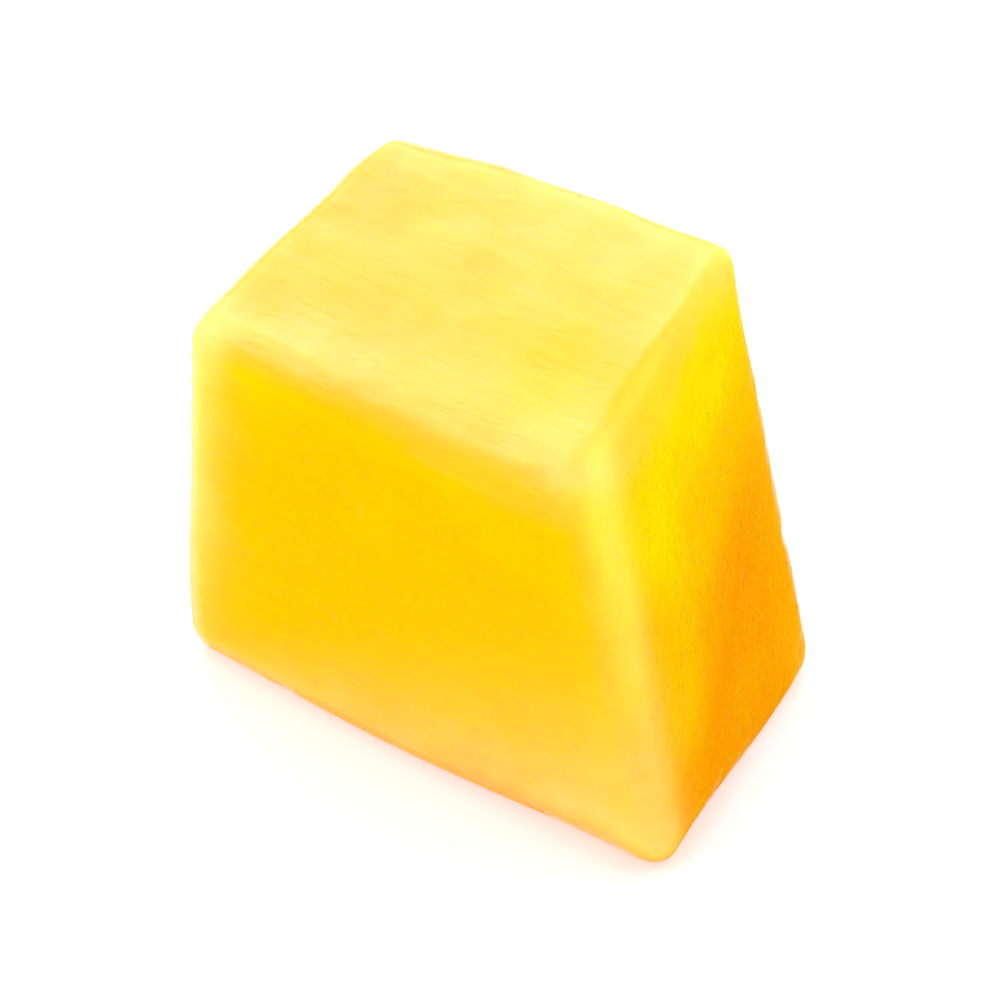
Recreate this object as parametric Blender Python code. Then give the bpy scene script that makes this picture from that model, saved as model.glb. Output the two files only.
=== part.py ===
"""One chunk of ripe mango flesh, cut with a knife as an uneven block. Metres, +Z up.

The chunk lies on its widest cut. Its front is -Y and its right is +X, and the origin is under the
middle of its outline. Six cuts meet in eight corners. The flesh between them has rounded edges, sides
that swell a little, a top with one shallow hollow, and a convex back, the side that lay under the peel.
"""

import itertools
import math

import bmesh
import bpy
import numpy as np

# Lengths between the cuts, measured from the front left corner of the foot.
FOOT_LENGTH = 0.0344  # front edge of the foot
DEPTH = 0.01935  # front cut to back cut
HEIGHT = 0.0229  # foot to top

# Angles of the cuts, in degrees. A turn is seen from above: the right cut turns in towards the back,
# and the left and back cuts turn out. A lean tips a cut from upright, the right one in, the left one out.
RIGHT_TURN = 15.6
RIGHT_LEAN = 12.9
LEFT_TURN = 2.9
LEFT_LEAN = -2.3
BACK_TURN = 3.9
TOP_RISE_TO_RIGHT = 1.9
TOP_RISE_TO_BACK = 7.2

# Radius of each edge, and of the softest corner. The edges that rub against other chunks are the softest.
EDGE_RADII = {
    ("front", "right", "top"): 0.0046,
    ("front", "left"): 0.0024,
    ("front", "right"): 0.0032,
    ("back", "left"): 0.0027,
    ("back", "right"): 0.0018,
    ("front", "top"): 0.0016,
    ("back", "top"): 0.0013,
    ("left", "top"): 0.0015,
    ("right", "top"): 0.0009,
    ("front", "foot"): 0.0011,
    ("back", "foot"): 0.0013,
    ("left", "foot"): 0.0012,
    ("right", "foot"): 0.0011,
}
EDGE_UNEVENNESS = 0.10  # share by which a radius grows and shrinks along its edge

# How far the middle of each side swells out of its cut.
SWELLS = {"left": 0.00030, "right": 0.00035, "front": 0.00020, "top": 0.00020}
PEEL_SIDE_SWELL = 0.00110  # the back, which follows the round of the fruit
PEEL_FACETS = 3  # upright strokes of the peeling knife across the back
PEEL_FACET_DEPTH = 0.00022
PEEL_RIDGE_ROUNDNESS = 0.15  # how blunt the ridges between the strokes are

# The hollow in the top, placed from -1 to 1 across it.
HOLLOW_TO_RIGHT = 0.56
HOLLOW_TO_BACK = -0.30
HOLLOW_RADIUS = 0.0026
HOLLOW_DEPTH = 0.00022

# Slow waves that keep the cuts from being dead flat.
WAVE_HEIGHT = 0.00007
WAVE_LENGTH = 0.0150

# The mesh: steps along each edge of the block, and how many at either end go round the edge.
STEPS = 24
ROUND_STEPS = 4

FLESH_COLOUR = (1.0, 0.60, 0.02, 1.0)
FLESH_ROUGHNESS = 0.42

# Each side's axis, and the end of that axis on which it lies.
SIDES = {
    "left": (0, -1),
    "right": (0, 1),
    "front": (1, -1),
    "back": (1, 1),
    "foot": (2, -1),
    "top": (2, 1),
}


def slope(degrees):
    return math.tan(math.radians(degrees))


def cuts():
    """Each side's plane, as the row n and the number d of n . p = d."""
    return {
        "left": ((1, slope(LEFT_TURN), slope(LEFT_LEAN)), 0),
        "right": ((1, slope(RIGHT_TURN), slope(RIGHT_LEAN)), FOOT_LENGTH),
        "front": ((0, 1, 0), 0),
        "back": ((-slope(BACK_TURN), 1, 0), DEPTH),
        "foot": ((0, 0, 1), 0),
        "top": ((-slope(TOP_RISE_TO_RIGHT), -slope(TOP_RISE_TO_BACK), 1), HEIGHT),
    }


def block_corners():
    """The eight points where three cuts meet, indexed by left or right, front or back, foot or top."""
    planes = cuts()
    ends = (("left", "right"), ("front", "back"), ("foot", "top"))
    corners = np.empty((2, 2, 2, 3))
    for index in itertools.product((0, 1), repeat=3):
        rows = [planes[ends[axis][end]] for axis, end in enumerate(index)]
        corners[index] = np.linalg.solve([row for row, _ in rows], [number for _, number in rows])
    return corners


def edge_radius(cube):
    """The rounding radius at each cube point: the edges' radii, the nearer and rounder edges weighing more.

    A wave that runs along all three axes makes each radius a little uneven.
    """
    total = np.zeros(len(cube))
    weights = np.zeros(len(cube))
    for names, radius in EDGE_RADII.items():
        weight = np.full(len(cube), radius**2)
        for axis, end in (SIDES[name] for name in names):
            weight *= ((1 + end * cube[:, axis]) / 2) ** 4
        total += weight * radius
        weights += weight
    across, back, up = cube.T
    wave = np.sin(5.1 * across + 1.7 * back + 0.4) * np.cos(3.7 * up - 2.3 * back + 0.9)
    return total / weights * (1 + EDGE_UNEVENNESS * wave)


def rounded_block(cube):
    """Points of a cube's surface, evenly spaced from -1 to 1, moved onto a block with rounded edges.

    Away from an edge a coordinate is stretched over the flat. In the last steps before an edge it
    turns an angle instead, so that the steps divide the quarter round evenly.
    """
    half = np.array([FOOT_LENGTH, DEPTH, HEIGHT]) / 2
    round_share = 2 * ROUND_STEPS / STEPS
    radius = edge_radius(cube)[:, None]
    flat = np.clip(cube / (1 - round_share), -1, 1)
    turned = np.clip((np.abs(cube) - (1 - round_share)) / round_share, 0, 1) * math.pi / 4
    outward = np.sign(cube) * np.tan(turned)
    outward /= np.linalg.norm(outward, axis=1)[:, None]
    return (flat * (half - radius) + radius * outward) / half


def between_cuts(block):
    """Points of the block from -1 to 1, carried to the room between the eight corners."""
    corners = block_corners()
    points = np.zeros((len(block), 3))
    for index in itertools.product((0, 1), repeat=3):
        share = np.ones(len(block))
        for axis, end in enumerate(index):
            share *= (1 + (2 * end - 1) * block[:, axis]) / 2
        points += share[:, None] * corners[index]
    return points


def swelling(block):
    """How far the sides' middles move out. It fades to nothing at the edges and at the far side."""
    move = np.zeros((len(block), 3))
    planes = cuts()
    for name, height in SWELLS.items():
        axis, end = SIDES[name]
        normal = end * np.array(planes[name][0], float)
        bow = (1 + end * block[:, axis]) / 2
        for other in {0, 1, 2} - {axis}:
            bow = bow * (1 - block[:, other] ** 2)
        move += height * bow[:, None] * normal / np.linalg.norm(normal)
    return move


def peel_side(block):
    """The round of the back, scooped into a few upright facets with blunt ridges between them."""
    across, back, up = block.T
    bow = PEEL_SIDE_SWELL * (1 - across**2) * (1 - 0.7 * up**2)
    stroke = np.sin(math.pi * PEEL_FACETS * (across + 1) / 2)
    scoop = PEEL_FACET_DEPTH * np.sqrt(stroke**2 + PEEL_RIDGE_ROUNDNESS**2) * (1 - across**2)
    move = np.zeros((len(block), 3))
    move[:, 1] = (bow - scoop) * (1 + back) / 2
    return move


def hollow(block):
    """The shallow hollow in the top, a bell curve of the distance from its middle."""
    across, back, up = block.T
    to_right = (across - HOLLOW_TO_RIGHT) * FOOT_LENGTH / 2
    to_back = (back - HOLLOW_TO_BACK) * DEPTH / 2
    far = (to_right**2 + to_back**2) / HOLLOW_RADIUS**2
    move = np.zeros((len(block), 3))
    move[:, 2] = -HOLLOW_DEPTH * np.exp(-far) * np.clip(up, 0, 1) ** 2
    return move


def waves(points, block):
    """Slow waves of each coordinate along the other two, level at the foot."""
    turn = 2 * math.pi * points / WAVE_LENGTH
    x, y, z = turn.T
    move = np.stack(
        [
            np.sin(1.1 * y + 0.6) * np.cos(0.9 * z + 0.4),
            np.sin(0.8 * x + 2.1) * np.cos(1.1 * z + 1.3),
            np.sin(0.9 * x + 0.3) * np.cos(1.2 * y + 2.2) * (1 + block[:, 2]) / 2,
        ],
        axis=1,
    )
    return WAVE_HEIGHT * move


def chunk_surface(cube):
    block = rounded_block(cube)
    points = between_cuts(block)
    points = points + swelling(block) + peel_side(block) + hollow(block)
    return points + waves(points, block)


def to_origin(points):
    """Puts the middle of the outline over the origin, and the foot on z = 0."""
    low = points.min(axis=0)
    high = points.max(axis=0)
    middle = (low + high) / 2
    return points - np.array([middle[0], middle[1], low[2]])


def flesh_material():
    material = bpy.data.materials.new("mango_flesh")
    material.use_nodes = True
    shader = material.node_tree.nodes["Principled BSDF"]
    shader.inputs["Base Color"].default_value = FLESH_COLOUR
    shader.inputs["Roughness"].default_value = FLESH_ROUGHNESS
    shader.inputs["Metallic"].default_value = 0.0
    return material


def clear_scene():
    for old in list(bpy.data.objects):
        bpy.data.objects.remove(old, do_unlink=True)


def mango_chunk():
    """A cube whose faces are cut into an even grid, with its points moved onto the chunk's surface."""
    shape = bmesh.new()
    bmesh.ops.create_cube(shape, size=2.0)
    bmesh.ops.subdivide_edges(shape, edges=shape.edges[:], cuts=STEPS - 1, use_grid_fill=True)
    points = to_origin(chunk_surface(np.array([vertex.co for vertex in shape.verts])))
    for vertex, point in zip(shape.verts, points):
        vertex.co = point
    bmesh.ops.recalc_face_normals(shape, faces=shape.faces[:])
    mesh = bpy.data.meshes.new("mango_chunk")
    shape.to_mesh(mesh)
    shape.free()
    mesh.shade_smooth()
    mesh.materials.append(flesh_material())
    chunk = bpy.data.objects.new("mango_chunk", mesh)
    bpy.context.scene.collection.objects.link(chunk)
    return chunk


clear_scene()
mango_chunk()
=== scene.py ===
"""The finished look of one chunk of ripe mango flesh, on a white floor in soft light. Metres, +Z up.

The chunk's form comes from six knife cuts, as in the solid that it covers. Here it is worked out on a
finer grid, and fibres, pores and nicks are cut into it. Every surface is a formula on arrays.
"""

import itertools
import math

import bpy
import numpy as np
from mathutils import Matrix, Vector


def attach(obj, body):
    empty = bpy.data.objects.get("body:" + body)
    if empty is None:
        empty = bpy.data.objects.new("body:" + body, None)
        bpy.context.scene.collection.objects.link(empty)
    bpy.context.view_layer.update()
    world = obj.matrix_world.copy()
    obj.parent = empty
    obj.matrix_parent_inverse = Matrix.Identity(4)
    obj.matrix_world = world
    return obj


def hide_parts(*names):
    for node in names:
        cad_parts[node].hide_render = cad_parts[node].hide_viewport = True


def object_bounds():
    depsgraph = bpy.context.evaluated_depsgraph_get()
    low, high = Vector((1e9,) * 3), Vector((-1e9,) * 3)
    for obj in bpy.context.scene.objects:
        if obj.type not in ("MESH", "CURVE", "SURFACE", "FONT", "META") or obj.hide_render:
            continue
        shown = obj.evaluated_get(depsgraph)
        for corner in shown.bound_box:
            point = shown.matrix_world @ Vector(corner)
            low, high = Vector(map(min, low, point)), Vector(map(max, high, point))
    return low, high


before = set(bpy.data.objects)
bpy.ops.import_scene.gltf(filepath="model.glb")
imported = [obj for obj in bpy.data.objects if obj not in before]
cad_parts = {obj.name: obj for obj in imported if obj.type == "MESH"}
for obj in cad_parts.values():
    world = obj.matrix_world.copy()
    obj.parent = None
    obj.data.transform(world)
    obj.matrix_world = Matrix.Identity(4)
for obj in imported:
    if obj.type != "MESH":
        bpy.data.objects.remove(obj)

CAD_LOW, CAD_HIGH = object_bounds()

# Lengths between the cuts, measured from the front left corner of the foot.
FOOT_LENGTH = 0.0344  # front edge of the foot
DEPTH = 0.01935  # front cut to back cut
HEIGHT = 0.0229  # foot to top
HALF_SIZE = np.array([FOOT_LENGTH, DEPTH, HEIGHT]) / 2

# Angles of the cuts, in degrees. A turn is seen from above: the right cut turns in towards the back,
# and the left and back cuts turn out. A lean tips a cut from upright, the right one in, the left one out.
RIGHT_TURN = 15.6
RIGHT_LEAN = 12.9
LEFT_TURN = 2.9
LEFT_LEAN = -2.3
BACK_TURN = 3.9
TOP_RISE_TO_RIGHT = 1.9
TOP_RISE_TO_BACK = 7.2

# Radius of each edge, and of the softest corner. The upright edges were rubbed the most.
EDGE_RADII = {
    ("front", "right", "top"): 0.0046,
    ("front", "left"): 0.0024,
    ("front", "right"): 0.0032,
    ("back", "left"): 0.0027,
    ("back", "right"): 0.0018,
    ("front", "top"): 0.0016,
    ("back", "top"): 0.0013,
    ("left", "top"): 0.0015,
    ("right", "top"): 0.0009,
    ("front", "foot"): 0.0011,
    ("back", "foot"): 0.0013,
    ("left", "foot"): 0.0012,
    ("right", "foot"): 0.0011,
}
EDGE_NEARNESS = 4  # the power by which an edge counts for less the farther a point is from it
EDGE_UNEVENNESS = 0.10  # share by which a radius grows and shrinks along its edge

# How far the middle of each side swells out of its cut.
SWELLS = {"left": 0.00030, "right": 0.00035, "front": 0.00020, "top": 0.00020}
PEEL_SIDE_SWELL = 0.00110  # the back, which follows the round of the fruit
PEEL_SWELL_LOSS = 0.7  # share of that swell that is gone at the foot and at the top
PEEL_FACETS = 3  # upright strokes of the peeling knife across the back
PEEL_FACET_DEPTH = 0.00022
PEEL_RIDGE_ROUNDNESS = 0.15  # how blunt the ridges between the strokes are

# The hollow in the top, placed from -1 to 1 across it.
HOLLOW_TO_RIGHT = 0.56
HOLLOW_TO_BACK = -0.30
HOLLOW_RADIUS = 0.0026
HOLLOW_DEPTH = 0.00022

# Slow waves that keep the cuts from being dead flat.
WAVE_HEIGHT = 0.00007
WAVE_LENGTH = 0.0150

# Each side's axis, and the end of that axis on which it lies.
SIDES = {
    "left": (0, -1),
    "right": (0, 1),
    "front": (1, -1),
    "back": (1, 1),
    "foot": (2, -1),
    "top": (2, 1),
}

# The fine grid on a cube from -1 to 1: steps over the flat of each axis, and steps round an edge.
FLAT_STEPS = (124, 72, 92)
ROUND_STEPS = 12
ROUND_SHARE = 1 / 3  # how much of each half of the cube, next to an edge, goes round it
FLAT_END = 1 - ROUND_SHARE

# An uneven field is a sum of waves. These are their number, and the shortest and the longest of their
# lengths over the usual one. Each use of a field has its own random seed.
FIELD_WAVES = 40
FIELD_SPREAD = (0.7, 1.4)
FIELD_SEEDS = {"dents": 7, "fibres": 8, "pores": 9, "nicks": 10, "clouds": 11, "edges": 12}

# Relief of the flesh. Fibres run along X, the length of the fruit. Two levels say where in its field,
# which is mostly between -2 and 2, a dent, pore or nick starts, and where it is deepest.
FIBRE_SPACING = 0.0011
FIBRE_STRETCH = 0.10  # a fibre's thickness over its length
FIBRE_WIDTH = 0.5  # a fibre stands up where its field is nearer to 0 than about this
FIBRE_DEPTH = 0.00003
DENT_SPACING = 0.0050
DENT_LEVELS = (-1.5, 2.0)
DENT_DEPTH = 0.00016
PORE_SPACING = 0.0013
PORE_STRETCH = 0.45
PORE_LEVELS = (1.25, 2.45)
PORE_DEPTH = 0.00007
NICK_SPACING = 0.0024
NICK_LEVELS = (0.9, 2.2)
NICK_DEPTH = 0.00016
RELIEF_FADE_HEIGHT = 0.0012  # below this height the relief fades out, because the foot lies flat

# The faint lines that the knife drags. A slower wave shifts them to and fro, by up to so many radians,
# and another one fades them. For the sides that face X, Y and Z: the axis along which the lines follow
# each other, the axis that slants them, and the slant.
DRAG_SPACING = 0.0016
DRAG_DEPTH = 0.000012
DRAG_SHIFT = 1.9
DRAG_SHIFT_PACE = 0.31
DRAG_FADE_PACE = 0.23
DRAG_SLANTS = ((1, 2, 0.18), (0, 2, 0.30), (0, 1, -0.22))

# Flesh, as linear colour, from the most orange, also used for painted shade, to the most yellow, also used
# for painted light, and the pale flesh of rubbed edges, also used for painted highlights, reflection and
# sheen.
ORANGE_FLESH = (0.94, 0.28, 0.0, 1.0)
GOLDEN_FLESH = (1.0, 0.51, 0.0, 1.0)
LEMON_FLESH = (1.0, 0.74, 0.0, 1.0)
PALE_FLESH = (1.0, 0.74, 0.25, 1.0)
SCATTER_REACH = 0.0026  # how far red light wanders in the flesh
SCATTER_COLOURS = (1.0, 0.50, 0.08)

# Each edge's look, paler rubbed flesh and a painted highlight: its paleness from 0 to 1, its tint towards
# lemon, or towards orange below 0, the share by which both grow towards the edge's right, back or top end,
# how far its palest line lies past the edge's middle on the second side, and how far it fades out over the
# first and the second side.
PALE_EDGES = {
    ("left", "front"): (0.53, 0.44, 0.5, 0.0009, 0.0016, 0.0022),
    ("front", "top"): (0.33, -0.05, 0.15, 0.00085, 0.0010, 0.0034),
    ("front", "right"): (0.18, 0.50, 0.3, 0.0013, 0.0021, 0.0015),
    ("left", "top"): (0.20, 0.0, 0.0, 0.0003, 0.0010, 0.0016),
    ("right", "top"): (0.15, 0.20, 0.0, 0.0010, 0.0008, 0.0016),
    ("back", "top"): (0.22, 0.0, 0.0, 0.0004, 0.0010, 0.0016),
    ("back", "left"): (0.18, 0.20, 0.5, 0.0, 0.0014, 0.0014),
    ("back", "right"): (0.10, 0.20, 0.3, 0.0, 0.0010, 0.0010),
    ("front", "foot"): (0.52, 0.0, 0.0, 0.0, 0.0013, 0.0013),
    ("left", "foot"): (0.15, 0.0, 0.0, 0.0, 0.0010, 0.0010),
    ("back", "foot"): (0.15, 0.0, 0.0, 0.0, 0.0010, 0.0010),
}
PALE_EDGE_DEPTH = 0.0012  # how far in from both sides an edge's paleness ends
PALE_EDGE_WANDER = 0.07  # share by which an edge's look widens and narrows along it
PALE_EDGE_WANDER_SPACING = 0.0035
MIDDLE_SHARE = 1 - math.sqrt(0.5)  # how far in a rounded edge's middle lies, over its radius

# From here on, a fade says where a change starts and where it is full, from -1, at the left, front or
# foot, to 1, at the right, back or top. Past 1 it is never full.

# The front cut is pale at its foot, a painted reflection of the white floor. The paleness climbs higher
# towards the right, and is tinted orange, a painted contact shade.
PAINTED_FOOT_REFLECTION = 0.52
PAINTED_FOOT_REFLECTION_TO_RIGHT = 0.30
PAINTED_FOOT_REFLECTION_REACH = 0.0045
PAINTED_FOOT_REFLECTION_REACH_TO_RIGHT = 0.73
PAINTED_FOOT_REFLECTION_ROUND_EDGE = 0.0022  # how far it goes round the front right edge
FOOT_PAINTED_SHADE = 1.1
FOOT_PAINTED_SHADE_MIDDLE = 0.3  # where along the foot the tint is strongest
FOOT_PAINTED_SHADE_REACH = 0.6

# The top's paleness at its back edge, a painted sheen.
PAINTED_TOP_SHEEN = 0.26
PAINTED_TOP_SHEEN_FADE = (0.0, 1.1)

# Painted light and shade inside the chunk, from 1, lemon, to -1, orange: lemon high up, where more light
# falls, and orange, painted shade, down towards the right and the back, in clouds with uneven borders.
PAINTED_SHADING_MIDDLE = -0.24
PAINTED_SHADING_UP = 1.4
PAINTED_SHADING_BACK = -0.60
PAINTED_SHADING_UP_AND_BACK = 0.90
PAINTED_SHADING_CLOUD_SPACING = 0.0042
PAINTED_SHADING_CLOUD_DEPTH = 0.14
DEEPEST_PAINTED_SHADE = -0.75
BRIGHTEST_PAINTED_LIGHT = 0.68
PAINTED_SHADE_SHARE_AT_BACK = 0.5  # how much of its orange is left at the chunk's back
PAINTED_SHADE_FADE = (0.1, 1.0)

# Each side's tone, from 1, lemon, to -1, orange, in part painted light and shade.
PAINTED_SHADING_SHARE_AT_LEFT = 0.35  # how much of the painted light and shade shows on the left cut
BACK_BRIGHTEST_PAINTED_LIGHT = 0.2  # the most lemon that the back gets
BACK_FADE = (-0.9, 1.2)
FRONT_TONE = 0.02
FRONT_TONE_UP = 0.46  # what is added at its top
FRONT_TONE_AT_RIGHT = 0.20
FRONT_RIGHT_FADE = (0.6, 1.1)
TOP_TONE = -0.20  # the middle of the top, a little warmer than golden
TOP_TONE_TO_RIGHT = 0.05
HOLLOW_TINT = 0.42  # the hollow in the top is a little more lemon than its surroundings
HOLLOW_TINT_RADIUS = 2 * HOLLOW_RADIUS
HOLLOW_DRYNESS = 0.65  # the share of the wet film that is missing in it
HOLLOW_DRY_RADIUS = 1.3 * HOLLOW_RADIUS

# The finish. Each pattern's clouds stand about a spacing apart, and its range is the part of its values,
# which go from 0 to 1, over which it takes effect.
DRIFT_SPACING = 0.0075
DRIFT_RANGE = (0.25, 0.75)
DRIFT_TONES = (-0.12, 0.12)
STRAND_SPACING = 0.0006
STRAND_RANGE = (0.30, 0.70)
STRAND_PALENESS = (0.94, 1.06)  # what paleness is multiplied by, between the strands and on them
STRAND_DEPTH = 0.00005
THREAD_RANGE = (0.56, 0.72)  # the strongest strands, which are more lemon
THREAD_LEMON = 0.09
# Patches that make the paleness uneven: rubbed flesh, and painted highlights, reflection and sheen.
RUBBED_AND_SHEEN_SPACING = 0.0022
RUBBED_AND_SHEEN_RANGE = (0.30, 0.70)
RUBBED_AND_SHEEN_PALENESS = (0.82, 1.18)
WET_SPACING = 0.0030
WET_RANGE = (0.35, 0.65)
DRY_AND_WET_ROUGHNESS = (0.36, 0.28)
DRY_AND_WET_FILM = (0.38, 0.62)
PIT_SPACING = 0.00080
PIT_STRETCH = 0.40
PIT_RANGE = (0.28, 0.44)
PIT_DEPTH = 0.00005
GRAIN_SPACING = 0.00030
GRAIN_DEPTH = 0.00002

# The camera stands where the photograph was taken from. The lamps face its target too.
CAMERA_AZIMUTH = 38.63
CAMERA_ELEVATION = 37.73
CAMERA_DISTANCE = 0.400
CAMERA_LENS = 266.5
CAMERA_TARGET = (-0.00129, -0.00051, 0.01140)

FLOOR_SIZE = 3.0
FLOOR_COLOUR = (0.70, 0.72, 0.74, 1.0)
FLOOR_SHINE = 0.38  # how brightly it is lit from below, as a light table is

# The light that comes from all round, as linear colour. A wall's border says how squarely a heading
# points at it, from 0 to 1, where it starts and where it is whole. The glow and the sky have theirs by
# how far a heading points up, from -1, straight down, to 1.
WHITE = (1.0, 1.0, 1.0, 1.0)
SKY = (0.80, 0.80, 0.80, 1.0)
GOLDEN_GLOW = (0.70, 0.42, 0.0, 1.0)
FLOOR_GLOW = (0.95, 0.60, 0.10, 1.0)
LEFT_WALL_AZIMUTH = -115
LEFT_WALL_BORDER = (0.35, 0.62)
RIGHT_WALL_AZIMUTH = 80
RIGHT_WALL_BORDER = (0.30, 0.90)
FLOOR_GLOW_BORDER = (-0.75, -0.95)
SKY_BORDER = (-0.1, 0.1)

# Each lamp's azimuth, elevation, distance, width and brightness, whether it shows as a reflection, and
# whether it lights the flesh.
LAMPS = {
    "sky_softbox": (-131, 48, 0.36, 0.30, 3.0, True, True),
    "edge_softbox": (-62, 52, 0.36, 0.22, 2.0, True, False),
    "right_fill": (95, 48, 0.075, 0.045, 1.35, False, True),
    "front_fill": (-15, 35, 0.60, 0.40, 2.1, False, True),
}


def slope(degrees):
    """An angle's slope: how far it rises for each length across."""
    return math.tan(math.radians(degrees))


def cuts():
    """Each side's plane, as the row n and the number d of n . p = d."""
    return {
        "left": ((1, slope(LEFT_TURN), slope(LEFT_LEAN)), 0),
        "right": ((1, slope(RIGHT_TURN), slope(RIGHT_LEAN)), FOOT_LENGTH),
        "front": ((0, 1, 0), 0),
        "back": ((-slope(BACK_TURN), 1, 0), DEPTH),
        "foot": ((0, 0, 1), 0),
        "top": ((-slope(TOP_RISE_TO_RIGHT), -slope(TOP_RISE_TO_BACK), 1), HEIGHT),
    }


def block_corners():
    """The eight points where three cuts meet, indexed by left or right, front or back, foot or top."""
    planes = cuts()
    ends = (("left", "right"), ("front", "back"), ("foot", "top"))
    corners = np.empty((2, 2, 2, 3))
    for index in itertools.product((0, 1), repeat=3):
        rows = [planes[ends[axis][end]] for axis, end in enumerate(index)]
        corners[index] = np.linalg.solve([row for row, _ in rows], [number for _, number in rows])
    return corners


def grid_lines(flat_steps):
    """Coordinates from -1 to 1: even steps over the flat, and even steps round the edge at either end."""
    return np.concatenate(
        [
            np.linspace(-1, -FLAT_END, ROUND_STEPS + 1)[:-1],
            np.linspace(-FLAT_END, FLAT_END, flat_steps + 1)[:-1],
            np.linspace(FLAT_END, 1, ROUND_STEPS + 1),
        ]
    )


def cube_grid():
    """A cube from -1 to 1 as points and four-sided faces.

    Each of its six sides is a grid of two parameters, the lines of the two axes that it spans.
    Points that two or three sides share are found by their whole-number place and kept once.
    """
    lines = [grid_lines(steps) for steps in FLAT_STEPS]
    last = [len(line) - 1 for line in lines]
    places = []
    faces = []
    count = 0
    for axis, end in SIDES.values():
        first, second = ((axis + 1) % 3, (axis + 2) % 3)
        u, v = np.meshgrid(np.arange(last[first] + 1), np.arange(last[second] + 1), indexing="ij")
        place = np.empty(u.shape + (3,), int)
        place[..., axis] = last[axis] if end > 0 else 0
        place[..., first] = u
        place[..., second] = v
        number = np.arange(u.size).reshape(u.shape) + count
        quads = np.stack([number[:-1, :-1], number[1:, :-1], number[1:, 1:], number[:-1, 1:]], axis=-1)
        faces.append(quads.reshape(-1, 4)[:, :: end])
        places.append(place.reshape(-1, 3))
        count += u.size
    kept, kept_number = np.unique(np.concatenate(places), axis=0, return_inverse=True)
    cube = np.stack([lines[axis][kept[:, axis]] for axis in range(3)], axis=1)
    return cube, kept_number.reshape(-1)[np.concatenate(faces)]


def edge_radius(cube):
    """The rounding radius at each cube point: the edges' radii, the nearer and rounder edges counting more.

    A wave that runs along all three axes makes each radius a little uneven.
    """
    total = np.zeros(len(cube))
    weights = np.zeros(len(cube))
    for names, radius in EDGE_RADII.items():
        weight = np.full(len(cube), radius**2)
        for axis, end in (SIDES[name] for name in names):
            weight *= ((1 + end * cube[:, axis]) / 2) ** EDGE_NEARNESS
        total += weight * radius
        weights += weight
    across, back, up = cube.T
    wave = np.sin(5.1 * across + 1.7 * back + 0.4) * np.cos(3.7 * up - 2.3 * back + 0.9)
    return total / weights * (1 + EDGE_UNEVENNESS * wave)


def rounded_block(cube):
    """Points of a cube's surface, from -1 to 1, moved onto a block with rounded edges.

    Up to the flat's end a coordinate is stretched over the flat. Between there and an edge it turns an
    angle instead, so that even steps divide the quarter round evenly.
    """
    radius = edge_radius(cube)[:, None]
    flat = np.clip(cube / FLAT_END, -1, 1)
    turned = np.clip((np.abs(cube) - FLAT_END) / ROUND_SHARE, 0, 1) * math.pi / 4
    outward = np.sign(cube) * np.tan(turned)
    outward /= np.linalg.norm(outward, axis=1)[:, None]
    return (flat * (HALF_SIZE - radius) + radius * outward) / HALF_SIZE


def between_cuts(block):
    """Points of the block from -1 to 1, carried to the room between the eight corners: the corners, each
    multiplied by how near a point is to it along all three axes, and summed."""
    corners = block_corners()
    points = np.zeros((len(block), 3))
    for index in itertools.product((0, 1), repeat=3):
        share = np.ones(len(block))
        for axis, end in enumerate(index):
            share *= (1 + (2 * end - 1) * block[:, axis]) / 2
        points += share[:, None] * corners[index]
    return points


def swelling(block):
    """How far the sides' middles move out: 1 less the square of each coordinate across the side, multiplied
    together, and fading evenly to nothing at the far side."""
    move = np.zeros((len(block), 3))
    planes = cuts()
    for name, height in SWELLS.items():
        axis, end = SIDES[name]
        normal = end * np.array(planes[name][0], float)
        bow = (1 + end * block[:, axis]) / 2
        for other in {0, 1, 2} - {axis}:
            bow = bow * (1 - block[:, other] ** 2)
        move += height * bow[:, None] * normal / np.linalg.norm(normal)
    return move


def peel_side(block):
    """The round of the back, scooped into a few upright facets with blunt ridges between them: a bow
    across and up, less the size of a sine across."""
    across, back, up = block.T
    bow = PEEL_SIDE_SWELL * (1 - across**2) * (1 - PEEL_SWELL_LOSS * up**2)
    stroke = np.sin(math.pi * PEEL_FACETS * (across + 1) / 2)
    scoop = PEEL_FACET_DEPTH * np.sqrt(stroke**2 + PEEL_RIDGE_ROUNDNESS**2) * (1 - across**2)
    move = np.zeros((len(block), 3))
    move[:, 1] = (bow - scoop) * (1 + back) / 2
    return move


def hollow_bell(block, radius):
    """A bell curve of the distance from the middle of the hollow in the top."""
    to_right = (block[:, 0] - HOLLOW_TO_RIGHT) * HALF_SIZE[0]
    to_back = (block[:, 1] - HOLLOW_TO_BACK) * HALF_SIZE[1]
    return np.exp(-(to_right**2 + to_back**2) / radius**2)


def near_top(block):
    """1 at the top, less below it, and 0 in the lower half: the square of the height."""
    return np.clip(block[:, 2], 0, 1) ** 2


def hollow(block):
    """The shallow hollow in the top."""
    move = np.zeros((len(block), 3))
    move[:, 2] = -HOLLOW_DEPTH * hollow_bell(block, HOLLOW_RADIUS) * near_top(block)
    return move


def waves(points, block):
    """Slow waves that move each coordinate by a sine and a cosine of the other two, each at its own pace.
    The foot stays level."""
    turn = 2 * math.pi * points / WAVE_LENGTH
    x, y, z = turn.T
    move = np.stack(
        [
            np.sin(1.1 * y + 0.6) * np.cos(0.9 * z + 0.4),
            np.sin(0.8 * x + 2.1) * np.cos(1.1 * z + 1.3),
            np.sin(0.9 * x + 0.3) * np.cos(1.2 * y + 2.2) * (1 + block[:, 2]) / 2,
        ],
        axis=1,
    )
    return WAVE_HEIGHT * move


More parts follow.
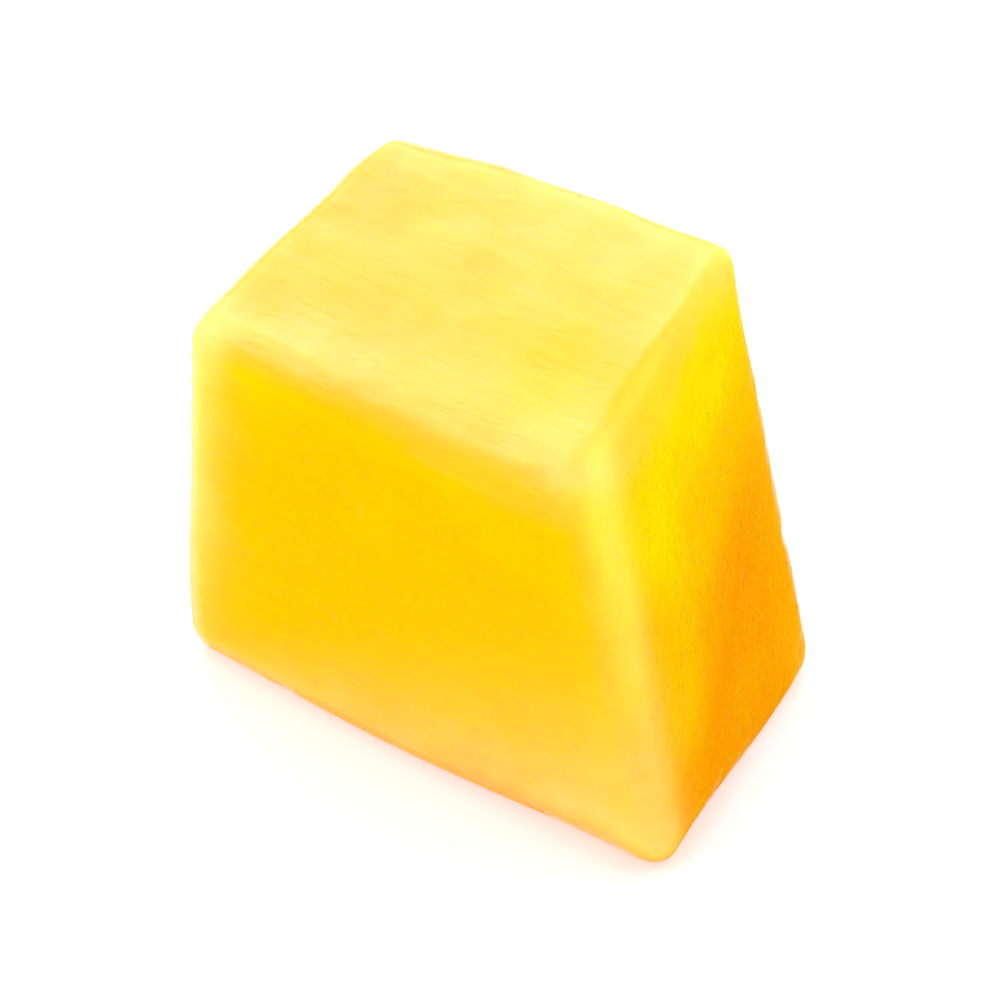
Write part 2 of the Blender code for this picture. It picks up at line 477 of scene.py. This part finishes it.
def chunk_surface(block):
    """The chunk's form without its fine relief, with the middle of its outline over the origin."""
    points = between_cuts(block)
    points = points + swelling(block) + peel_side(block) + hollow(block)
    points = points + waves(points, block)
    low = points.min(axis=0)
    high = points.max(axis=0)
    middle = (low + high) / 2
    return points - np.array([middle[0], middle[1], low[2]])


def outward_directions(points, faces):
    """The unit normal at each point: the cross products of the diagonals of the faces that meet there,
    summed."""
    one, two, three, four = (points[faces[:, corner]] for corner in range(4))
    across = np.cross(three - one, four - two)
    total = np.zeros(points.shape)
    for corner in range(4):
        np.add.at(total, faces[:, corner], across)
    return total / np.linalg.norm(total, axis=1)[:, None]


def field(points, spacing, use):
    """An uneven field with a mean square of one: a sum of plane waves in random directions.

    Their wavelengths lie round twice the spacing, so that its hills stand about that far apart.
    """
    draw = np.random.default_rng(FIELD_SEEDS[use])
    heading = draw.normal(size=(FIELD_WAVES, 3))
    heading /= np.linalg.norm(heading, axis=1)[:, None]
    wavelength = 2 * spacing * draw.uniform(*FIELD_SPREAD, FIELD_WAVES)
    phase = draw.uniform(0, 2 * math.pi, FIELD_WAVES)
    angle = points @ (2 * math.pi * heading / wavelength[:, None]).T + phase
    return np.cos(angle).sum(axis=1) * math.sqrt(2 / FIELD_WAVES)


def smooth_step(value, start, end):
    """0 before start, 1 after end, and 3t^2 - 2t^3 between them."""
    share = np.clip((value - start) / (end - start), 0, 1)
    return share * share * (3 - 2 * share)


def edge_share(cube):
    """1 along an edge and 0 on the flats: the second largest cube coordinate, as it goes round the edge."""
    second = np.sort(np.abs(cube), axis=1)[:, 1]
    return smooth_step(second, FLAT_END, 1)


def knife_drag(points, normals):
    """Faint lines across the fibres: waves of a slanted coordinate, which slower waves shift and fade.
    Each side has the lines of the axis that it faces."""
    lines = np.zeros(len(points))
    for axis, (along, slanting, slant) in enumerate(DRAG_SLANTS):
        turn = 2 * math.pi * (points[:, along] + slant * points[:, slanting]) / DRAG_SPACING
        shift = DRAG_SHIFT * np.sin(DRAG_SHIFT_PACE * turn + axis)
        line = np.sin(turn + shift) * np.cos(DRAG_FADE_PACE * turn + 2.0 * axis)
        lines += line * normals[:, axis] ** 2
    return DRAG_DEPTH * (1 + lines) / 2


def relief(points, normals, cube):
    """How far each point sinks in: shallow dents, fibres, knife lines, pores that open here and there,
    and nicks along the edges. It fades out at the foot, which lies flat."""
    dents = DENT_DEPTH * smooth_step(field(points, DENT_SPACING, "dents"), *DENT_LEVELS)
    strand = field(points * np.array([FIBRE_STRETCH, 1, 1]), FIBRE_SPACING, "fibres")
    fibres = FIBRE_DEPTH * (1 - np.exp(-((strand / FIBRE_WIDTH) ** 2)))
    pore = field(points * np.array([PORE_STRETCH, 1, 1]), PORE_SPACING, "pores")
    pores = PORE_DEPTH * smooth_step(pore, *PORE_LEVELS)
    nick = field(points, NICK_SPACING, "nicks")
    nicks = NICK_DEPTH * smooth_step(nick, *NICK_LEVELS) * edge_share(cube)
    above_foot = smooth_step(points[:, 2], 0.0, RELIEF_FADE_HEIGHT)
    return (dents + fibres + pores + nicks + knife_drag(points, normals)) * above_foot


def from_side(block, name):
    """How far each point lies in from one side's cut."""
    axis, end = SIDES[name]
    return (1 - end * block[:, axis]) * HALF_SIZE[axis]


def edge_bell(block, wander, names, growth, shift, over_first, over_second):
    """A bell curve of the way across one rounded edge, with its own width over either side, times another
    of the way in from both sides. It grows along the edge by the coordinate that neither side ends."""
    first, second = (from_side(block, name) for name in names)
    past = first - second - shift
    reach = np.where(past < 0, over_first, over_second) * wander
    radius = EDGE_RADII.get(names) or EDGE_RADII[names[::-1]]
    inside = np.maximum(np.minimum(first, second) - MIDDLE_SHARE * radius, 0)
    along = ({0, 1, 2} - {SIDES[name][0] for name in names}).pop()
    grown = 1 + growth * block[:, along]
    return grown * np.exp(-((past / reach) ** 2) - (inside / PALE_EDGE_DEPTH) ** 2)


def edge_bells(block):
    """Every pale edge's bell curve. An uneven field varies their widths."""
    wander = 1 + PALE_EDGE_WANDER * field(block * HALF_SIZE, PALE_EDGE_WANDER_SPACING, "edges")
    return {
        names: edge_bell(block, wander, names, *spread)
        for names, (_, _, *spread) in PALE_EDGES.items()
    }


def painted_foot_reflection(block):
    """The painted reflection of the floor: a bell curve of the height up the front cut, wider and stronger
    towards the right.
    """
    across = block[:, 0]
    reach = PAINTED_FOOT_REFLECTION_REACH * (1 + PAINTED_FOOT_REFLECTION_REACH_TO_RIGHT * across)
    strength = PAINTED_FOOT_REFLECTION * (1 + PAINTED_FOOT_REFLECTION_TO_RIGHT * across)
    up = from_side(block, "foot") / reach
    behind = from_side(block, "front") / PAINTED_FOOT_REFLECTION_ROUND_EDGE
    return strength * np.exp(-(up**2) - behind**2)


def painted_top_sheen(block):
    """A painted sheen that fades forward from the top's back edge."""
    down = from_side(block, "top") / PALE_EDGE_DEPTH
    return PAINTED_TOP_SHEEN * np.exp(-(down**2)) * smooth_step(block[:, 1], *PAINTED_TOP_SHEEN_FADE)


def turned_under(normals):
    """How far the surface faces down, from 0 to 1."""
    return np.clip(-normals[:, 2], 0, 1)


def paleness(block, normals, bells):
    """From 0 to 1: the edges, paler rubbed flesh and painted highlights, the painted reflection at the
    front's foot and the painted sheen at the back of the top, each shading what the rest leave. It fades
    out where the surface turns under."""
    unshaded = (1 - painted_foot_reflection(block)) * (1 - painted_top_sheen(block))
    for names, (strength, *_) in PALE_EDGES.items():
        unshaded *= 1 - strength * bells[names]
    return (1 - unshaded) * (1 - turned_under(normals))


def painted_shading(points, block):
    """Painted light and shade: lemon high up and orange, painted shade, low down, the more so the farther
    back: a sum of the height, the depth and their product, broken up by clouds of random tone. Its orange
    fades towards the very back."""
    _, back, up = block.T
    clouds = PAINTED_SHADING_CLOUD_DEPTH * field(points, PAINTED_SHADING_CLOUD_SPACING, "clouds")
    shading_tone = PAINTED_SHADING_MIDDLE + PAINTED_SHADING_UP * up + (PAINTED_SHADING_BACK + PAINTED_SHADING_UP_AND_BACK * up) * back + clouds
    painted_shade_left = 1 - (1 - PAINTED_SHADE_SHARE_AT_BACK) * smooth_step(back, *PAINTED_SHADE_FADE)
    return np.clip(shading_tone, 0, BRIGHTEST_PAINTED_LIGHT) + np.clip(shading_tone, DEEPEST_PAINTED_SHADE, 0) * painted_shade_left


def facing(normals, way):
    """How squarely a surface faces one way, from 0 to 1: the square of the cosine between them."""
    return np.clip(normals @ np.array(way) / np.linalg.norm(way), 0, 1) ** 2


def tone(points, block, normals, bells):
    """From -1, orange, to 1, lemon, as each side's tone, part of it painted light and shade, weighed by how
    far the surface faces that way.

    The right cut shows the painted light and shade in full, the left a share of it, and the back less and
    less of it towards the left. The front is a little lemon at its top and right. The top is a little
    warmer than golden, most of all at its left, but not its hollow. Each edge adds its tint, part of its
    painted highlight. The pale foot, a painted reflection, and what turns under are tinted orange, a
    painted contact shade.
    """
    across = block[:, 0]
    on_right = facing(normals, cuts()["right"][0])
    on_left = facing(normals, (-1, 0, 0))
    on_front = facing(normals, (0, -1, 0))
    on_back = facing(normals, (0, 1, 0))
    on_top = facing(normals, (0, 0, 1))
    shading_tone = painted_shading(points, block)
    back_tone = np.minimum(shading_tone, BACK_BRIGHTEST_PAINTED_LIGHT) * smooth_step(across, *BACK_FADE)
    front_tone = FRONT_TONE + FRONT_TONE_UP * near_top(block)
    front_tone += FRONT_TONE_AT_RIGHT * smooth_step(across, *FRONT_RIGHT_FADE)
    top_tone = TOP_TONE + TOP_TONE_TO_RIGHT * across
    top_tone += HOLLOW_TINT * hollow_bell(block, HOLLOW_TINT_RADIUS)
    # Painted light and shade on the right cut, the left cut and the back.
    sides = on_right * shading_tone + on_left * PAINTED_SHADING_SHARE_AT_LEFT * shading_tone
    sides += on_back * back_tone + on_front * front_tone + on_top * top_tone
    for names, (_, tint, *_) in PALE_EDGES.items():
        sides += tint * bells[names]
    # Painted contact shade: the pale foot and what turns under are tinted orange.
    along_foot = np.exp(-(((across - FOOT_PAINTED_SHADE_MIDDLE) / FOOT_PAINTED_SHADE_REACH) ** 2))
    return sides - FOOT_PAINTED_SHADE * painted_foot_reflection(block) * along_foot - turned_under(normals)


def film(block):
    """How much of the wet film lies on the flesh, up to 1: less in the hollow in the top."""
    return 1 - HOLLOW_DRYNESS * hollow_bell(block, HOLLOW_DRY_RADIUS) * near_top(block)


def scene_object(name, data):
    """A new object in the scene, at the origin."""
    made = bpy.data.objects.new(name, data)
    bpy.context.scene.collection.objects.link(made)
    return made


def mesh_object(name, points, faces):
    """A mesh object at the origin from whole arrays of points and four-sided faces, shaded smooth."""
    mesh = bpy.data.meshes.new(name)
    mesh.vertices.add(len(points))
    mesh.vertices.foreach_set("co", points.astype(np.float32).reshape(-1))
    mesh.loops.add(faces.size)
    mesh.loops.foreach_set("vertex_index", faces.astype(np.int32).reshape(-1))
    mesh.polygons.add(len(faces))
    mesh.polygons.foreach_set("loop_start", np.arange(0, faces.size, 4, dtype=np.int32))
    mesh.update(calc_edges=True)
    mesh.validate()
    mesh.shade_smooth()
    return scene_object(name, mesh)


def store(made, name, values):
    """Keeps a number for each point of the mesh, which its material reads."""
    attribute = made.data.attributes.new(name, "FLOAT", "POINT")
    attribute.data.foreach_set("value", values.astype(np.float32))


def mango_flesh():
    """The whole chunk: the cut block's form, sunk in by the relief and kept inside the solid's box."""
    cube, faces = cube_grid()
    block = rounded_block(cube)
    form = chunk_surface(block)
    normals = outward_directions(form, faces)
    sunk = relief(form, normals, cube)
    points = np.clip(form - normals * sunk[:, None], np.array(CAD_LOW), np.array(CAD_HIGH))
    made = mesh_object("mango_flesh", points, faces)
    bells = edge_bells(block)
    store(made, "pale", paleness(block, normals, bells))
    store(made, "tone", tone(form, block, normals, bells))
    store(made, "film", film(block))
    made.data.materials.append(flesh_material())
    return made


class Nodes:
    """A short way to write the nodes of a material or of the world. A call that makes a node feeds it
    what it is given, numbers or other nodes' outputs, and returns its own output."""

    def __init__(self, owner):
        owner.use_nodes = True
        self.tree = owner.node_tree

    def shader(self):
        """The sockets of a material's own shader."""
        return self.tree.nodes["Principled BSDF"].inputs

    def feed(self, socket, value):
        """Links an output to a socket, or sets the socket itself to a constant."""
        if isinstance(value, bpy.types.NodeSocket):
            self.tree.links.new(value, socket)
        else:
            socket.default_value = value

    def object_place(self, scale=(1, 1, 1)):
        """A point's own coordinates. A scale below 1 stretches a pattern along that axis."""
        place = self.tree.nodes.new("ShaderNodeTexCoord").outputs["Object"]
        mapping = self.tree.nodes.new("ShaderNodeMapping")
        self.feed(mapping.inputs["Vector"], place)
        self.feed(mapping.inputs["Scale"], scale)
        return mapping.outputs["Vector"]

    def noise(self, place, spacing, detail=2.0, distortion=0.0):
        """A cloudy pattern from 0 to 1, whose clouds stand about a spacing apart."""
        node = self.tree.nodes.new("ShaderNodeTexNoise")
        self.feed(node.inputs["Vector"], place)
        self.feed(node.inputs["Scale"], 1 / spacing)
        self.feed(node.inputs["Detail"], detail)
        self.feed(node.inputs["Distortion"], distortion)
        return node.outputs["Fac"]

    def span(self, value, low, high, new_low=0.0, new_high=1.0):
        """A smooth step from one value to another as its input goes from low to high."""
        node = self.tree.nodes.new("ShaderNodeMapRange")
        node.interpolation_type = "SMOOTHSTEP"
        sockets = ("Value", "From Min", "From Max", "To Min", "To Max")
        for name, part in zip(sockets, (value, low, high, new_low, new_high)):
            self.feed(node.inputs[name], part)
        return node.outputs["Result"]

    def math(self, operation, one, two):
        """Two numbers added or multiplied."""
        node = self.tree.nodes.new("ShaderNodeMath")
        node.operation = operation
        self.feed(node.inputs[0], one)
        self.feed(node.inputs[1], two)
        return node.outputs["Value"]

    def towards(self, heading, way):
        """How far a heading points one way: their dot product."""
        node = self.tree.nodes.new("ShaderNodeVectorMath")
        node.operation = "DOT_PRODUCT"
        self.feed(node.inputs[0], heading)
        self.feed(node.inputs[1], way)
        return node.outputs["Value"]

    def mix(self, share, one, two):
        """The first colour, with a share of it replaced by the second."""
        node = self.tree.nodes.new("ShaderNodeMix")
        node.data_type = "RGBA"
        self.feed(node.inputs["Factor"], share)
        self.feed(node.inputs["A"], one)
        self.feed(node.inputs["B"], two)
        return node.outputs["Result"]

    def stored(self, name):
        """The number that the mesh keeps for each of its points under a name."""
        node = self.tree.nodes.new("ShaderNodeAttribute")
        node.attribute_name = name
        return node.outputs["Fac"]

    def bump(self, height, depth, under=None):
        """A pattern as fine relief of a given depth, over any other such relief."""
        node = self.tree.nodes.new("ShaderNodeBump")
        self.feed(node.inputs["Height"], height)
        self.feed(node.inputs["Distance"], depth)
        self.feed(node.inputs["Strength"], 1.0)
        if under is not None:
            self.feed(node.inputs["Normal"], under)
        return node.outputs["Normal"]


def flesh_material():
    """Moist, see-through flesh: golden, paler where edges were rubbed and where highlights, a reflection
    and a sheen are painted, with painted light and shade in its tone, fine fibres and wet patches.
    """
    material = bpy.data.materials.new("mango_flesh_finish")
    make = Nodes(material)
    shader = make.shader()
    place = make.object_place()
    along_fibres = make.object_place((FIBRE_STRETCH, 1, 1))
    strands = make.noise(along_fibres, STRAND_SPACING, detail=3.0, distortion=0.4)

    drift = make.span(make.noise(place, DRIFT_SPACING), *DRIFT_RANGE, *DRIFT_TONES)
    shade = make.math("ADD", make.stored("tone"), drift)
    colour = make.mix(make.span(shade, -1.0, 0.0), ORANGE_FLESH, GOLDEN_FLESH)
    colour = make.mix(make.span(shade, 0.0, 1.0), colour, LEMON_FLESH)
    threads = make.span(strands, *THREAD_RANGE)
    colour = make.mix(make.math("MULTIPLY", threads, THREAD_LEMON), colour, LEMON_FLESH)
    # Paleness, partly rubbed edges and partly painted highlights, reflection and sheen, made uneven in
    # patches and along the strands.
    rubbed_and_sheen = make.span(make.noise(place, RUBBED_AND_SHEEN_SPACING, detail=3.0), *RUBBED_AND_SHEEN_RANGE, *RUBBED_AND_SHEEN_PALENESS)
    streaked = make.span(strands, *STRAND_RANGE, *STRAND_PALENESS)
    uneven = make.math("MULTIPLY", rubbed_and_sheen, streaked)
    colour = make.mix(make.math("MULTIPLY", make.stored("pale"), uneven), colour, PALE_FLESH)
    make.feed(shader["Base Color"], colour)

    wet = make.span(make.noise(place, WET_SPACING), *WET_RANGE)
    make.feed(shader["Roughness"], make.span(wet, 0.0, 1.0, *DRY_AND_WET_ROUGHNESS))
    wet_film = make.span(wet, 0.0, 1.0, *DRY_AND_WET_FILM)
    make.feed(shader["Coat Weight"], make.math("MULTIPLY", wet_film, make.stored("film")))

    pit_place = make.object_place((PIT_STRETCH, 1, 1))
    pits = make.span(make.noise(pit_place, PIT_SPACING, distortion=0.1), *PIT_RANGE)
    fine_relief = make.bump(pits, PIT_DEPTH)
    fine_relief = make.bump(strands, STRAND_DEPTH, fine_relief)
    fine_relief = make.bump(make.noise(place, GRAIN_SPACING), GRAIN_DEPTH, fine_relief)
    make.feed(shader["Normal"], fine_relief)

    make.feed(shader["Metallic"], 0.0)
    make.feed(shader["IOR"], 1.40)
    make.feed(shader["Specular IOR Level"], 0.22)
    make.feed(shader["Coat Roughness"], 0.12)
    make.feed(shader["Coat IOR"], 1.36)
    make.feed(shader["Subsurface Weight"], 1.0)
    make.feed(shader["Subsurface Scale"], SCATTER_REACH)
    make.feed(shader["Subsurface Radius"], SCATTER_COLOURS)
    return material


def floor():
    """A plain floor, one flat face. Partly lit from below, it is white and takes on little of the
    flesh's colour. It doesn't show in reflections."""
    half = FLOOR_SIZE / 2
    corners = half * np.array([(-1, -1, 0), (1, -1, 0), (1, 1, 0), (-1, 1, 0)], float)
    made = mesh_object("floor", corners, np.array([[0, 1, 2, 3]]))
    material = bpy.data.materials.new("floor_white")
    make = Nodes(material)
    shader = make.shader()
    make.feed(shader["Base Color"], FLOOR_COLOUR)
    make.feed(shader["Roughness"], 0.9)
    make.feed(shader["Specular IOR Level"], 0.0)
    make.feed(shader["Emission Color"], WHITE)
    make.feed(shader["Emission Strength"], FLOOR_SHINE)
    made.data.materials.append(material)
    made.visible_glossy = False


def direction(azimuth, elevation):
    """The unit vector towards an azimuth, counted from the front cut round to the right, and an
    elevation."""
    turn, rise = math.radians(azimuth), math.radians(elevation)
    return Vector((math.sin(turn) * math.cos(rise), -math.cos(turn) * math.cos(rise), math.sin(rise)))


def aim(made, azimuth, elevation, distance):
    """Stands a lamp or the camera at a distance from the target, facing it."""
    heading = direction(azimuth, elevation)
    made.location = Vector(CAMERA_TARGET) + heading * distance
    made.rotation_euler = heading.to_track_quat("Z", "Y").to_euler()


def softbox(name, azimuth, elevation, distance, width, brightness, shows, lights):
    """A square lamp that is as bright at any width. It may only light the flesh, or only show as a
    reflection in its wet surface."""
    lamp = bpy.data.lights.new(name, "AREA")
    lamp.shape = "SQUARE"
    lamp.size = width
    lamp.energy = brightness * math.pi * width**2
    made = scene_object(name, lamp)
    aim(made, azimuth, elevation, distance)
    made.visible_camera = False
    made.visible_glossy = shows
    made.visible_diffuse = lights


def studio():
    """Soft white light from above, and what the wet flesh mirrors: white walls at the left and the right,
    a golden glow below and between them, and straight down the floor, brighter but still golden from the
    flesh beside it. The camera sees plain white behind the chunk."""
    world = bpy.data.worlds.new("studio")
    bpy.context.scene.world = world
    make = Nodes(world)
    heading = make.tree.nodes.new("ShaderNodeTexCoord").outputs["Generated"]
    left = make.towards(heading, direction(LEFT_WALL_AZIMUTH, 0))
    right = make.towards(heading, direction(RIGHT_WALL_AZIMUTH, 0))
    upward = make.towards(heading, (0, 0, 1))
    around = make.mix(make.span(left, *LEFT_WALL_BORDER), GOLDEN_GLOW, WHITE)
    around = make.mix(make.span(right, *RIGHT_WALL_BORDER), around, WHITE)
    around = make.mix(make.span(upward, *FLOOR_GLOW_BORDER), around, FLOOR_GLOW)
    around = make.mix(make.span(upward, *SKY_BORDER), around, SKY)
    camera_ray = make.tree.nodes.new("ShaderNodeLightPath").outputs["Is Camera Ray"]
    make.feed(make.tree.nodes["Background"].inputs["Color"], make.mix(camera_ray, around, WHITE))
    for name, settings in LAMPS.items():
        softbox(name, *settings)


def camera():
    """A long lens at the photograph's angle."""
    lens = bpy.data.cameras.new("camera")
    lens.lens = CAMERA_LENS
    lens.clip_start = 0.01
    lens.clip_end = 10.0
    made = scene_object("camera", lens)
    aim(made, CAMERA_AZIMUTH, CAMERA_ELEVATION, CAMERA_DISTANCE)
    bpy.context.scene.camera = made


bpy.context.scene.view_settings.view_transform = "Standard"
flesh = mango_flesh()
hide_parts("mango_chunk")
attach(flesh, "root")
floor()
studio()
camera()
